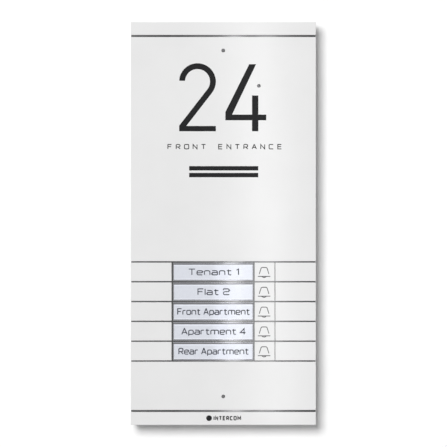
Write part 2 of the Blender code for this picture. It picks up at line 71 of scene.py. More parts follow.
# Painted light and shade by place, as (mm, shade) stops. X is the object's own, and Z is up from a
# row's middle.
# Painted shade and highlight along the carrier's steel, for how its reflections fall in the gaps
CARRIER_PAINTED_SHADE_X = ((-80, 0.78), (-46, 0.53), (-14, 0.88), (2, 0.95), (50, 0.92), (80, 0.48))
# Painted shade dimming the frames' reflected highlight on the right, and a painted shadow over
# each window
FRAME_PAINTED_SHADE_X = ((-44, 1.0), (0, 1.0), (12, 0.82), (26, 0.8))
FRAME_PAINTED_SHADOW_Z = ((-8, 1.0), (6.3, 1.0), (6.4, 0.3), (6.8, 0.4), (7.2, 1.0), (8, 1.0))
# Painted shade and highlight across the cards, a painted glow at their top and bottom edges, and a
# painted shadow under the frames' top that fades to the right
CARD_PAINTED_SHADE_X = (
    (-43, (0.84, 0.85, 0.85)),
    (-41, (0.79, 0.79, 0.79)),
    (-12, (0.80, 0.80, 0.80)),
    (-3, (0.93, 0.93, 0.94)),
    (14, (0.97, 0.97, 0.96)),
    (22, (0.93, 0.93, 0.93)),
    (26, (0.9, 0.9, 0.91)),
)
CARD_PAINTED_GLOW_Z = (
    (-7, 0.14),
    (-6.2, 0.08),
    (-5.4, 0.0),
    (4.6, 0.0),
    (5.4, 0.16),
    (6.5, 0.26),
)
CARD_PAINTED_SHADOW_Z = ((-7, 1.0), (5.75, 1.0), (6.05, 0.45), (7, 0.45))
CARD_PAINTED_SHADOW_LIFT_X = ((-43, 0.0), (-10, 0.05), (8, 0.45), (26, 0.4))

# Where a noise's dark and light ends are, and how the clear panes mirror
NOISE_LOW = 0.3
NOISE_HIGH = 0.7
BRUSHED_ALONG_X = (1, 60, 60)
HEAD_ON_MIRRORING = 0.013
SLANT_POWER = 5

# Shading of the CAD nodes
WELD_REACH = 0.001 * MM
SHARP_DEGREES = 50
FLAT_FACE_WEIGHT = 100

# Silicone domes: sizes, and how many steps go round each
DOME_CROWN = 3.0 * MM
DOME_WALL = 0.8 * MM
DOME_LIP = 0.55 * MM
DOME_ROUND = 0.5 * MM
DOME_STEPS = 40

# Print. Each label has its words and their printed width.
INK_THICKNESS = 0.03 * MM
INK_LIFT = 0.005 * MM
NUMERAL_BASE = 79.65 * MM
NUMERAL_STROKE = 4.75 * MM
TWO_X = (-38.1 * MM, -6.4 * MM)
TWO_TOP = 138.4 * MM
TWO_LIP_DEGREES = 177
TWO_TAIL_DEGREES = -37.8
FOUR_X = (1.8 * MM, 37.1 * MM)
FOUR_TOP = 137.55 * MM
BAR_X = (-29.5 * MM, 30.2 * MM)
BAR_HALF = 1.87 * MM
BARS = (("bar_upper", 47.67 * MM), ("bar_lower", 41.8 * MM))
LABELS = (
    ("Tenant 1", 43 * MM),
    ("Flat 2", 27 * MM),
    ("Front Apartment", 62 * MM),
    ("Apartment 4", 55 * MM),
    ("Rear Apartment", 60 * MM),
)
LEAST_MITRE = 0.4

# Studio. Each strip light has its name, X, width and radiance.
STAGE_REACH = 1.2
PAINT_SPREAD = 0.015
WALL_Y = 0.5 * MM
WALL_INSET = 3 * MM
WALL_SHADE = 0.93
FLOOR_Z = -0.62
FLOOR_FRONT = -3
FLOOR_SHADE = 0.82
FRONT_SURROUND = 0.37
BACK_SURROUND = 0.9
SURROUND_BLEND = 0.05
BAND_X = 0.038
BAND_Y = -0.048
BAND_TILT_DEGREES = 3
STRIP_Y = -0.12
STRIP_HEIGHT = 0.44
STRIPS = (("narrow_strip", 0.010, 0.012, 1.3), ("slim_strip", 0.038, 0.016, 0.75))

# Camera. The last value is the picture's height over the panel's, both in pixels.
CAMERA_X = 0.2 * MM
FOCAL_LENGTH_MM = 400
SENSOR_WIDTH_MM = 36
PICTURE_TO_PANEL = 447 / 403


# Materials


class Material:
    """A node material with one Principled shader and short calls for its patterns."""

    def __init__(self, name, roughness, metallic=0.0):
        self.material = bpy.data.materials.new(name)
        self.material.use_nodes = True
        self.nodes = self.material.node_tree.nodes
        self.links = self.material.node_tree.links
        self.shader = self.nodes["Principled BSDF"]
        self.output = self.nodes["Material Output"]
        self.shader.inputs["Roughness"].default_value = roughness
        self.shader.inputs["Metallic"].default_value = metallic

    def coordinates(self, stretch=(1, 1, 1)):
        """Object coordinates, in metres, stretched along each axis."""
        source = self.nodes.new("ShaderNodeTexCoord")
        mapping = self.nodes.new("ShaderNodeMapping")
        mapping.inputs["Scale"].default_value = stretch
        self.links.new(source.outputs["Object"], mapping.inputs["Vector"])
        return mapping.outputs["Vector"]

    def noise(self, scale, detail=2.0, roughness=0.5, stretch=(1, 1, 1)):
        """A noise with about scale features a metre, as a socket."""
        texture = self.nodes.new("ShaderNodeTexNoise")
        texture.inputs["Scale"].default_value = scale
        texture.inputs["Detail"].default_value = detail
        texture.inputs["Roughness"].default_value = roughness
        self.links.new(self.coordinates(stretch), texture.inputs["Vector"])
        return texture.outputs["Fac"]

    def speckle(self, scale):
        """Round cells, about scale of them a metre, as a distance from each one's middle."""
        texture = self.nodes.new("ShaderNodeTexVoronoi")
        texture.inputs["Scale"].default_value = scale
        self.links.new(self.coordinates(), texture.inputs["Vector"])
        return texture.outputs["Distance"]

    def colour(self, factor, dark, light):
        """Runs the base colour from dark to light over a noise."""
        ramp = self.nodes.new("ShaderNodeValToRGB")
        ramp.color_ramp.elements[0].position = NOISE_LOW
        ramp.color_ramp.elements[0].color = (*dark, 1)
        ramp.color_ramp.elements[1].position = NOISE_HIGH
        ramp.color_ramp.elements[1].color = (*light, 1)
        self.links.new(factor, ramp.inputs["Fac"])
        self.links.new(ramp.outputs["Color"], self.shader.inputs["Base Color"])

    def shade_along(self, axis, stops, repeat=None):
        """A shade from (mm, shade) stops along an axis, as a colour socket.

        With repeat, (middle, pitch) in metres, the stops count from each row's middle.
        """
        low = stops[0][0] * MM
        high = stops[-1][0] * MM
        split = self.nodes.new("ShaderNodeSeparateXYZ")
        self.links.new(self.coordinates(), split.inputs["Vector"])
        place = split.outputs[axis]
        if repeat:
            middle, pitch = repeat
            wrap = self.nodes.new("ShaderNodeMath")
            wrap.operation = "WRAP"
            wrap.inputs[1].default_value = middle + pitch / 2
            wrap.inputs[2].default_value = middle - pitch / 2
            self.links.new(place, wrap.inputs[0])
            place = wrap.outputs["Value"]
            low += middle
            high += middle
        limits = self.nodes.new("ShaderNodeMapRange")
        limits.inputs["From Min"].default_value = low
        limits.inputs["From Max"].default_value = high
        self.links.new(place, limits.inputs["Value"])
        ramp = self.nodes.new("ShaderNodeValToRGB")
        ramp.color_ramp.interpolation = "EASE"
        for _ in stops[2:]:
            ramp.color_ramp.elements.new(0.5)
        first = stops[0][0]
        for element, (at, shade) in zip(ramp.color_ramp.elements, stops):
            colour = shade if isinstance(shade, tuple) else (shade,) * 3
            element.position = (at - first) / (stops[-1][0] - first)
            element.color = (*colour, 1)
        self.links.new(limits.outputs["Result"], ramp.inputs["Fac"])
        return ramp.outputs["Color"]

    def blend(self, kind, first, second):
        """Two colour sockets joined in a colour mix of this kind, kept between 0 and 1."""
        mix = self.nodes.new("ShaderNodeMix")
        mix.data_type = "RGBA"
        mix.blend_type = kind
        mix.clamp_result = True
        mix.inputs["Factor"].default_value = 1.0
        self.links.new(first, mix.inputs["A"])
        self.links.new(second, mix.inputs["B"])
        return mix.outputs["Result"]

    def shade(self, socket):
        """Multiplies the base colour by a colour socket."""
        base = self.shader.inputs["Base Color"]
        self.links.new(self.blend("MULTIPLY", base.links[0].from_socket, socket), base)

    def gloss(self, factor, smooth, rough):
        """Runs the roughness from smooth to rough over a noise."""
        limits = self.nodes.new("ShaderNodeMapRange")
        limits.inputs["From Min"].default_value = NOISE_LOW
        limits.inputs["From Max"].default_value = NOISE_HIGH
        limits.inputs["To Min"].default_value = smooth
        limits.inputs["To Max"].default_value = rough
        self.links.new(factor, limits.inputs["Value"])
        self.links.new(limits.outputs["Result"], self.shader.inputs["Roughness"])

    def bump(self, factor, strength, height):
        """Raises the surface by up to height, in metres, where a socket is 1."""
        bump = self.nodes.new("ShaderNodeBump")
        bump.inputs["Strength"].default_value = strength
        bump.inputs["Distance"].default_value = height
        self.links.new(factor, bump.inputs["Height"])
        self.links.new(bump.outputs["Normal"], self.shader.inputs["Normal"])

    def mix_to_output(self, factor, first, second):
        """Sends a mix of two shader nodes to the output: the second where the factor is 1."""
        mix = self.nodes.new("ShaderNodeMixShader")
        self.links.new(factor, mix.inputs["Fac"])
        self.links.new(first.outputs["BSDF"], mix.inputs[1])
        self.links.new(second.outputs["BSDF"], mix.inputs[2])
        self.links.new(mix.outputs["Shader"], self.output.inputs["Surface"])

    def set(self, **values):
        """Sets sockets by name, with _ for a space."""
        for name, value in values.items():
            self.shader.inputs[name.replace("_", " ")].default_value = value


def powder_coat(name, dark, light, roughness):
    """Sprayed powder: a fine orange peel over a faint cloudiness."""
    made = Material(name, roughness)
    made.colour(made.noise(30, detail=3), dark, light)
    made.gloss(made.noise(120, detail=3), roughness - 0.04, roughness + 0.04)
    made.bump(made.noise(1500), strength=0.25, height=0.02 * MM)
    made.set(Specular_IOR_Level=0.45)
    return made.material


def brushed_metal(name, dark, light, roughness):
    """Metal with fine lines along X."""
    made = Material(name, roughness, metallic=1.0)
    lines = made.noise(60, 3, 0.6, BRUSHED_ALONG_X)
    made.colour(lines, dark, light)
    made.gloss(made.noise(25, 4, 0.6, BRUSHED_ALONG_X), roughness - 0.02, roughness + 0.03)
    made.bump(lines, strength=0.06, height=0.01 * MM)
    return made


def turned_metal(name, dark, light, roughness):
    """Metal with a fine even grain."""
    made = Material(name, roughness, metallic=1.0)
    made.colour(made.noise(900, detail=3), dark, light)
    made.gloss(made.noise(600), roughness - 0.06, roughness + 0.08)
    made.bump(made.noise(2500), strength=0.2, height=0.01 * MM)
    return made.material


def moulded_plastic(name, dark, light, roughness):
    """Plastic with a fine spark-eroded grain."""
    made = Material(name, roughness)
    made.colour(made.noise(200, detail=3), dark, light)
    made.gloss(made.noise(400), roughness - 0.06, roughness + 0.06)
    made.bump(made.speckle(1800), strength=0.25, height=0.02 * MM)
    return made.material


def rubber(name, dark, light, roughness):
    """Matt rubber with a soft uneven skin."""
    made = Material(name, roughness)
    made.colour(made.noise(150, detail=4), dark, light)
    made.gloss(made.noise(300, detail=3), roughness - 0.1, roughness + 0.1)
    made.bump(made.noise(1200, detail=4), strength=0.35, height=0.04 * MM)
    made.set(Specular_IOR_Level=0.35)
    return made.material


def printed_ink(name, dark, light):
    """Screen print, a little uneven in tone and gloss."""
    made = Material(name, 0.5)
    made.colour(made.noise(700, detail=3), dark, light)
    made.gloss(made.noise(900), smooth=0.42, rough=0.58)
    made.bump(made.noise(3000), strength=0.2, height=0.01 * MM)
    made.set(Specular_IOR_Level=0.2)
    return made.material


def paper(name, dark, light):
    """Matt paper with a fibrous surface."""
    made = Material(name, 0.7)
    made.colour(made.noise(500, 5, 0.65), dark, light)
    made.bump(made.noise(2500, 4, 0.7), strength=0.25, height=0.02 * MM)
    made.set(Specular_IOR_Level=0.2)
    return made


def row_repeat():
    """Where the first row of name plates is, and how far down the next one is."""
    first_low, first_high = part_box("name_bezel_1")
    second_low, second_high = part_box("name_bezel_2")
    return (first_low.z + first_high.z) / 2, first_low.z - second_low.z


def carrier_steel_painted_shade():
    """The carrier's duller steel, seen in the gaps, with painted shade and highlight along X."""
    made = brushed_metal("carrier_steel_painted_shade", (0.44, 0.445, 0.45), (0.54, 0.545, 0.55), 0.2)
    made.shade(made.shade_along("X", CARRIER_PAINTED_SHADE_X))
    return made.material


def frame_steel():
    """The name plates' steel frames, with painted shade on their right part and a painted shadow
    along the joint over each window.
    """
    made = brushed_metal("brushed_steel", (0.775, 0.78, 0.825), (0.895, 0.90, 0.95), 0.2)
    made.shade(made.shade_along("X", FRAME_PAINTED_SHADE_X))
    made.shade(made.shade_along("Z", FRAME_PAINTED_SHADOW_Z, row_repeat()))
    return made.material


def name_card():
    """White card with painted shade and highlight across, a painted glow at its window's edges and
    a thin painted shadow under the frame's top.
    """
    made = paper("name_card", (0.88, 0.87, 0.87), (0.93, 0.92, 0.92))
    rows = row_repeat()
    across = made.shade_along("X", CARD_PAINTED_SHADE_X)
    glow = made.shade_along("Z", CARD_PAINTED_GLOW_Z, rows)
    made.shade(made.blend("ADD", across, glow))
    shadow = made.shade_along("Z", CARD_PAINTED_SHADOW_Z, rows)
    lift = made.shade_along("X", CARD_PAINTED_SHADOW_LIFT_X)
    made.shade(made.blend("ADD", shadow, lift))
    return made.material


def circuit_board():
    """Solder mask over thin copper tracks."""
    made = Material("circuit_board", 0.35)
    mask = (0.012, 0.10, 0.045, 1)
    tracks = made.nodes.new("ShaderNodeTexBrick")
    tracks.inputs["Scale"].default_value = 180
    tracks.inputs["Mortar Size"].default_value = 0.06
    tracks.inputs["Color1"].default_value = mask
    tracks.inputs["Color2"].default_value = mask
    tracks.inputs["Mortar"].default_value = (0.03, 0.19, 0.08, 1)
    turn = made.nodes.new("ShaderNodeMapping")
    turn.inputs["Rotation"].default_value = (math.pi / 2, 0, 0)
    made.links.new(made.coordinates(), turn.inputs["Vector"])
    made.links.new(turn.outputs["Vector"], tracks.inputs["Vector"])
    made.links.new(tracks.outputs["Color"], made.shader.inputs["Base Color"])
    made.gloss(made.noise(80), smooth=0.3, rough=0.42)
    made.bump(tracks.outputs["Fac"], strength=0.3, height=0.03 * MM)
    return made.material


def clear_acrylic():
    """A polished pane that mirrors a little at each of its faces and lets the rest through."""
    made = Material("clear_acrylic", 0.04, metallic=1.0)
    made.colour(made.noise(40), (0.95, 0.96, 0.98), (1.0, 1.0, 1.0))
    made.gloss(made.noise(90, detail=4), smooth=0.03, rough=0.08)
    made.bump(made.noise(60), strength=0.05, height=0.02 * MM)
    through = made.nodes.new("ShaderNodeBsdfTransparent")
    through.inputs["Color"].default_value = (0.97, 0.98, 1.0, 1)
    slant = made.nodes.new("ShaderNodeLayerWeight")
    steep = made.nodes.new("ShaderNodeMath")
    steep.operation = "POWER"
    steep.inputs[1].default_value = SLANT_POWER
    mirrored = made.nodes.new("ShaderNodeMath")
    mirrored.operation = "MULTIPLY_ADD"
    mirrored.inputs[1].default_value = 1 - HEAD_ON_MIRRORING
    mirrored.inputs[2].default_value = HEAD_ON_MIRRORING
    made.links.new(slant.outputs["Facing"], steep.inputs[0])
    made.links.new(steep.outputs["Value"], mirrored.inputs[0])
    made.mix_to_output(mirrored.outputs["Value"], through, made.shader)
    return made.material


def make_finishes():
    """One material for each material slot of the frame, by the slot's name."""
    finishes = {
        "brushed_steel": frame_steel(),
        "clear_acrylic": clear_acrylic(),
        "name_card": name_card(),
        "circuit_board": circuit_board(),
        "cone_paper": paper("cone_paper", (0.03, 0.03, 0.03), (0.06, 0.06, 0.06)).material,
    }
    for name, make, dark, light, roughness in (
        ("powder_white", powder_coat, (0.705, 0.705, 0.705), (0.725, 0.725, 0.725), 0.42),
        ("powder_grey", powder_coat, (0.50, 0.50, 0.50), (0.54, 0.54, 0.535), 0.5),
        ("screw_steel", turned_metal, (0.20, 0.20, 0.21), (0.30, 0.30, 0.31), 0.35),
        ("magnet_steel", turned_metal, (0.42, 0.43, 0.45), (0.52, 0.53, 0.55), 0.32),
        ("capsule_aluminium", turned_metal, (0.66, 0.66, 0.67), (0.76, 0.76, 0.77), 0.28),
        ("silicone", rubber, (0.62, 0.62, 0.60), (0.72, 0.72, 0.70), 0.55),
        ("black_rubber", rubber, (0.018, 0.018, 0.018), (0.035, 0.035, 0.036), 0.75),
        ("guide_acrylic", moulded_plastic, (0.78, 0.82, 0.88), (0.86, 0.89, 0.93), 0.2),
        ("terminal_plastic", moulded_plastic, (0.02, 0.20, 0.08), (0.03, 0.28, 0.12), 0.45),
        ("ribbon_plastic", moulded_plastic, (0.28, 0.28, 0.29), (0.38, 0.38, 0.39), 0.5),
        ("black_plastic", moulded_plastic, (0.02, 0.02, 0.02), (0.04, 0.04, 0.042), 0.5),
    ):
        finishes[name] = make(name, dark, light, roughness)
    return finishes


def polish(node):
    """Joins a CAD node's split corners and shades its rounded edges smooth."""
    mesh = node.data
    normals = mesh.attributes.get("custom_normal")
    if normals:
        mesh.attributes.remove(normals)
    mesh.shade_smooth()
    weld = node.modifiers.new("weld", "WELD")
    weld.merge_threshold = WELD_REACH
    split = node.modifiers.new("sharp_edges", "EDGE_SPLIT")
    split.split_angle = math.radians(SHARP_DEGREES)
    weighted = node.modifiers.new("flat_faces", "WEIGHTED_NORMAL")
    weighted.weight = FLAT_FACE_WEIGHT
    weighted.keep_sharp = True


def dress_frame():
    """Gives each CAD node its finish, and returns the finishes by slot name."""
    finishes = make_finishes()
    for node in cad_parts.values():
        for slot in node.material_slots:
            slot.material = finishes[slot.material.name]
        polish(node)
    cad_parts["carrier_plate"].material_slots[0].material = carrier_steel_painted_shade()
    # The two lock screws get a lighter copy of the screw steel: painted light, so their shaded
    # holes read lighter
    painted_lighter_screws = turned_metal("screw_steel_painted_lighter", (0.32, 0.32, 0.33), (0.44, 0.44, 0.45), 0.35)
    for name in ("lock_screw_top", "lock_screw_bottom"):
        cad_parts[name].material_slots[0].material = painted_lighter_screws
    return finishes


# Print


def rounded(points, radius, steps=4):
    """The same open line of (x, z) points with its corners rounded."""
    line = [points[0]]
    for before, corner, after in zip(points, points[1:], points[2:]):
        corner = Vector(corner)
        back = Vector(before) - corner
        ahead = Vector(after) - corner
        reach = min(radius, back.length / 2, ahead.length / 2)
        start = corner + back.normalized() * reach
        end = corner + ahead.normalized() * reach
        for i in range(steps + 1):
            t = i / steps
            line.append(tuple((1 - t) ** 2 * start + 2 * t * (1 - t) * corner + t**2 * end))
    line.append(points[-1])
    return line


def arc(centre, radius, start, end, steps=28):
    """Points on an arc, from one angle to another, in degrees from +X towards +Z."""
    angles = [math.radians(start + (end - start) * i / steps) for i in range(steps + 1)]
    return [(centre[0] + radius * math.cos(a), centre[1] + radius * math.sin(a)) for a in angles]


def rectangle(left, right, bottom, top):
    """The four corners of an upright rectangle, as (x, z) points."""
    return [(left, bottom), (right, bottom), (right, top), (left, top)]


def ribbon(line, width):
    """The outline of a pen stroke drawn along an open line, with square ends."""
    near = []
    far = []
    for i, point in enumerate(line):
        before = Vector(line[max(i - 1, 0)])
        after = Vector(line[min(i + 1, len(line) - 1)])
        here = Vector(point)
        arrive = (here - before).normalized() if i else (after - here).normalized()
        leave = (after - here).normalized() if i < len(line) - 1 else arrive
        across = Vector((-arrive.y - leave.y, arrive.x + leave.x)).normalized()
        reach = width / 2 / max(across.dot(Vector((-arrive.y, arrive.x))), LEAST_MITRE)
        near.append(tuple(here + across * reach))
        far.append(tuple(here - across * reach))
    return near, far


def prism(mesh, near, far):
    """Adds a thin closed strip between two lines of (x, z) points to a bmesh."""
    columns = []
    for (x0, z0), (x1, z1) in zip(near, far):
        corners = [(x0, 0, z0), (x1, 0, z1), (x1, -INK_THICKNESS, z1), (x0, -INK_THICKNESS, z0)]
        columns.append([mesh.verts.new(corner) for corner in corners])
    mesh.faces.new(columns[0])
    mesh.faces.new(columns[-1][::-1])
    for first, second in zip(columns, columns[1:]):
        for i in range(4):
            j = (i + 1) % 4
            mesh.faces.new((first[i], second[i], second[j], first[j]))


def strokes_shape(name, lines, width):
    """Thin print made of pen strokes."""
    mesh = bmesh.new()
    for line in lines:
        prism(mesh, *ribbon(line, width))
    return new_piece(name, mesh)


def filled_shape(name, outlines):
    """Thin print filled inside each outline of (x, z) points."""
    mesh = bmesh.new()
    for outline in outlines:
        front = [mesh.verts.new((x, -INK_THICKNESS, z)) for x, z in outline]
        back = [mesh.verts.new((x, 0, z)) for x, z in outline]
        mesh.faces.new(front)
        mesh.faces.new(back[::-1])
        for i in range(len(outline)):
            j = (i + 1) % len(outline)
            mesh.faces.new((front[j], front[i], back[i], back[j]))
    mesh.normal_update()
    bmesh.ops.triangulate(mesh, faces=mesh.faces[:], ngon_method="EAR_CLIP")
    return new_piece(name, mesh)


def new_piece(name, mesh):
    """Makes an object from a bmesh, with its faces turned outwards."""
    bmesh.ops.recalc_face_normals(mesh, faces=mesh.faces[:])
    data = bpy.data.meshes.new(name)
    mesh.to_mesh(data)
    mesh.free()
    piece = bpy.data.objects.new(name, data)
    bpy.context.scene.collection.objects.link(piece)
    return piece


def print_on(piece, face_y, ink, body="panel"):
    """Lays thin print on a face that looks along -Y."""
    piece.location.y = face_y - INK_LIFT
    piece.data.materials.append(ink)
    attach(piece, body)


# Letters as pen strokes of (x, z) points. Small letters are 1.0 high.
CAP = 1.4
BOWL = 0.72
CAPITAL_WIDTH = 1.1
CORNER = 0.34
GLYPHS = {
    "A": [[(0, 0), (0.58, CAP), (0.62, CAP), (1.2, 0)], [(0.2, 0.45), (1.0, 0.45)]],
    "C": [[(1.15, CAP), (0, CAP), (0, 0), (1.15, 0)]],
    "E": [[(1.0, CAP), (0, CAP), (0, 0), (1.0, 0)], [(0, BOWL), (0.9, BOWL)]],
    "F": [[(1.0, CAP), (0, CAP), (0, 0)], [(0, BOWL), (0.85, BOWL)]],
    "I": [[(0, 0), (0, CAP)]],
    "M": [[(0, 0), (0, CAP), (0.75, 0.45), (1.5, CAP), (1.5, 0)]],
    "N": [[(0, 0), (0, CAP), (1.1, 0), (1.1, CAP)]],
    "O": [[(0.6, CAP), (0, CAP), (0, 0), (1.2, 0), (1.2, CAP), (0.6, CAP)]],
    "R": [[(0, 0), (0, CAP), (1.05, CAP), (1.05, 0.6), (0, 0.6)], [(0.55, 0.6), (1.1, 0)]],
    "T": [[(0, CAP), (1.15, CAP)], [(0.575, CAP), (0.575, 0)]],
    "a": [[(0.05, 1), (1, 1), (1, 0)], [(1, 0.56), (0, 0.56), (0, 0), (1, 0)]],
    "e": [[(0, 0.5), (1, 0.5), (1, 1), (0, 1), (0, 0), (0.97, 0)]],
    "l": [[(0, CAP), (0, 0)]],
    "m": [[(0, 0), (0, 1), (1.7, 1), (1.7, 0)], [(0.85, 1), (0.85, 0)]],
    "n": [[(0, 0), (0, 1), (1, 1), (1, 0)]],
    "o": [[(0.5, 1), (0, 1), (0, 0), (1, 0), (1, 1), (0.5, 1)]],
    "p": [[(0, -0.4), (0, 1), (1, 1), (1, 0), (0, 0)]],
    "r": [[(0, 0), (0, 1), (0.68, 1)]],
    "t": [[(0.3, 1.3), (0.3, 0), (0.8, 0)], [(0, 1), (0.8, 1)]],
    "1": [[(0, 1.15), (0.35, CAP), (0.35, 0)]],
    "2": [[(0, 1.1), (0, CAP), (1.1, CAP), (1.1, BOWL), (0, BOWL), (0, 0), (1.1, 0)]],
    "4": [[(0.85, 0), (0.85, CAP), (0, 0.4), (1.15, 0.4)]],
}
SHARP_LETTERS = "AEFMNT14"
SPACE_WIDTH = 0.62
LETTER_GAP = 0.36


def glyph_lines(letter):
    """A letter's strokes, with rounded corners unless it is drawn with sharp ones."""
    if letter in SHARP_LETTERS:
        return GLYPHS[letter]
    return [rounded(line, CORNER) for line in GLYPHS[letter]]


def glyph_width(letter):
    """A letter's natural width."""
    return max(x for line in GLYPHS[letter] for x, z in line)


def text_lines(words, width, cap_height, centre_x, base_z, gap=LETTER_GAP):
    """The strokes of a line of words, fitted to a width."""
    placed = []
    pen = 0
    for letter in words:
        if letter == " ":
            pen += SPACE_WIDTH
            continue
        placed += [[(pen + x, z) for x, z in line] for line in glyph_lines(letter)]
        pen += glyph_width(letter) + gap
    across = width / (pen - gap)
    up = cap_height / CAP
    left = centre_x - width / 2
    return [[(left + x * across, base_z + z * up) for x, z in line] for line in placed]


def spaced_lines(words, pitch, cap_height, letter_width, centre_x, base_z):
    """The strokes of words whose letters stand at an even pitch."""
    lines = []
    up = cap_height / CAP
    across = letter_width / CAPITAL_WIDTH
    for i, letter in enumerate(words):
        if letter == " ":
            continue
        middle = centre_x + (i - (len(words) - 1) / 2) * pitch
        left = middle - glyph_width(letter) * across / 2
        for line in glyph_lines(letter):
            lines.append([(left + x * across, base_z + z * up) for x, z in line])
    return lines


def two_outline(base, top, left, right, stroke):
    """A round bowl whose straight tail runs down to a flat foot, sized in strokes."""
    outer = (right - left) / 2
    inner = outer - 1.06 * stroke
    centre = ((left + right) / 2, top - outer)
    tail_angle = math.radians(TWO_TAIL_DEGREES)
    run = (math.sin(tail_angle), -math.cos(tail_angle))
    bowl_out = arc(centre, outer, TWO_LIP_DEGREES, TWO_TAIL_DEGREES)
    bowl_in = arc(centre, inner, TWO_TAIL_DEGREES, TWO_LIP_DEGREES)
    foot_top = base + 0.96 * stroke
    crook_x = bowl_out[-1][0] + run[0] * (foot_top - bowl_out[-1][1]) / run[1]
    heel_z = bowl_in[0][1] + run[1] * (left - bowl_in[0][0]) / run[0]
    foot = [
        (crook_x, foot_top),
        (right, foot_top),
        (right, base),
        (left, base),
        (left, heel_z),
    ]
    return bowl_out + foot + bowl_in


def four_outline(base, top, left, right, stroke):
    """A slanted stroke and a crossbar, with a short upright through the bar, sized in strokes."""
    bar_low = base + 2.0 * stroke
    bar_high = bar_low + 1.03 * stroke
    upright_left = right - 2.58 * stroke
    upright_right = upright_left + 1.14 * stroke
    upright_top = base + 6.51 * stroke
    slant_left = left + 4.33 * stroke
    slant_right = slant_left + 1.25 * stroke
    slant_foot = left + 1.22 * stroke
    knee_z = bar_high + 0.45 * stroke
    return [
        (slant_left, top),
        (slant_right, top),
        (slant_foot, bar_high),
        (upright_left, bar_high),
        (upright_left, upright_top),
        (upright_right, upright_top),
        (upright_right, bar_high),
        (right, bar_high),
        (right, bar_low),
        (upright_right, bar_low),
        (upright_right, base),
        (upright_left, base),
        (upright_left, bar_low),
        (left, bar_low),
        (left, knee_z),
    ]


def bell_lines(centre_x, centre_z):
    """An arch, the rim under it and the clapper's edge."""
    half_top = 2.4 * MM
    half_foot = 4.15 * MM
    half_rim = 5.4 * MM
    shoulder = 1.1 * MM
    top_z = centre_z + 3.8 * MM
    foot_z = centre_z - 1.9 * MM
    rim_z = centre_z - 3.9 * MM
    arch = [
        (centre_x - half_foot, foot_z),
        (centre_x - half_top, top_z),
        (centre_x + half_top, top_z),
        (centre_x + half_foot, foot_z),
    ]
    rim = [(centre_x - half_rim, rim_z), (centre_x + half_rim, rim_z)]
    clapper = arc((centre_x, rim_z + 1.2 * MM), 2.2 * MM, start=215, end=325, steps=10)
    return [rounded(arch, shoulder, steps=6), rim, clapper]


def print_numerals(ink, face_y):
    """The house number and the two bars under it."""
    two = two_outline(NUMERAL_BASE, TWO_TOP, *TWO_X, NUMERAL_STROKE)
    four = four_outline(NUMERAL_BASE, FOUR_TOP, *FOUR_X, NUMERAL_STROKE)
    print_on(filled_shape("numeral_2", [two]), face_y, ink)
    print_on(filled_shape("numeral_4", [four]), face_y, ink)
    for name, middle in BARS:
        outline = rectangle(*BAR_X, middle - BAR_HALF, middle + BAR_HALF)
        print_on(filled_shape(name, [outline]), face_y, ink)


def print_caption(ink, face_y):
    """The widely spaced line of capitals between the numerals and the bars."""
    lines = spaced_lines(
        "FRONT ENTRANCE",
        pitch=7.3 * MM,
        cap_height=3.85 * MM,
        letter_width=3.4 * MM,
        centre_x=1.2 * MM,
        base_z=64.4 * MM,
    )
    print_on(strokes_shape("caption", lines, width=0.76 * MM), face_y, ink)


def print_mark(ink):
    """A disc and the general word for the object, on the bottom strip."""
    low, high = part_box("bottom_strip")
    middle = (low.z + high.z) / 2
    centre = (-12.3 * MM, middle + 0.3 * MM)
    disc = arc(centre, radius=2.45 * MM, start=0, end=351, steps=39)
    print_on(filled_shape("mark_disc", [disc]), low.y, ink)
    word = text_lines(
        "INTERCOM",
        width=22.9 * MM,
        cap_height=2.9 * MM,
        centre_x=3.5 * MM,
        base_z=middle - 1.15 * MM,
        gap=0.93,
    )
    print_on(strokes_shape("mark_word", word, width=0.9 * MM), low.y, ink)


def print_row(row, words, width, name_ink, bell_ink):
    """The words on a row's name card and the bell on its key."""
    low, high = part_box(f"name_card_{row}")
    card = (low + high) / 2
    lines = text_lines(
        words,
        width,
        cap_height=5.0 * MM,
        centre_x=card.x + 0.3 * MM,
        base_z=card.z - 2.4 * MM,
    )
    print_on(strokes_shape(f"name_text_{row}", lines, width=0.8 * MM), low.y, name_ink)

    low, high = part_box(f"bell_key_{row}")
    key = (low + high) / 2
    bell = bell_lines(key.x - 0.5 * MM, key.z)
    symbol = strokes_shape(f"bell_symbol_{row}", bell, width=0.68 * MM)
    print_on(symbol, low.y, bell_ink, f"key_{row}")


def make_print():
    """Numerals, bars, lettering and symbols. All the words are general ones."""
    anthracite = printed_ink("anthracite_ink", (0.012, 0.012, 0.013), (0.019, 0.019, 0.02))
    mid_grey = printed_ink("mid_grey_ink", (0.02, 0.02, 0.02), (0.032, 0.032, 0.032))
    slate = printed_ink("slate_ink", (0.014, 0.015, 0.026), (0.022, 0.023, 0.038))
    bell_grey = printed_ink("bell_grey_ink", (0.06, 0.06, 0.06), (0.08, 0.08, 0.08))
    face_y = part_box("main_plate")[0].y
    print_numerals(anthracite, face_y)
    print_caption(mid_grey, face_y)
    print_mark(anthracite)
    for row, (words, width) in enumerate(LABELS, 1):
        print_row(row, words, width, slate, bell_grey)


# Silicone domes


def dome_profile(back, front, base, crown):
    """A thin dome's section as (radius, depth) points, from the crown's middle out and back in."""
    depth = front - back
    spread = base - crown
    lip = back + DOME_LIP
    knee = back + 0.62 * depth
    inner = crown - DOME_WALL
    soft = 0.3 * DOME_ROUND
    outside = [
        (0, front),
        (crown - DOME_ROUND, front),
        (crown - soft, front - soft),
        (crown, front - DOME_ROUND),
        (crown, knee),
        (crown + 0.35 * spread, back + 0.4 * depth),
        (base - DOME_ROUND, lip),
        (base - 0.1 * MM, lip - 0.1 * MM),
        (base, back),
    ]
    inside = [
        (base - 2 * DOME_WALL, back),
        (inner + 0.3 * spread, back + 0.3 * depth),
        (inner, knee - 0.3 * MM),
        (inner, front - DOME_WALL),
        (0, front - DOME_WALL),
    ]
    return outside + inside


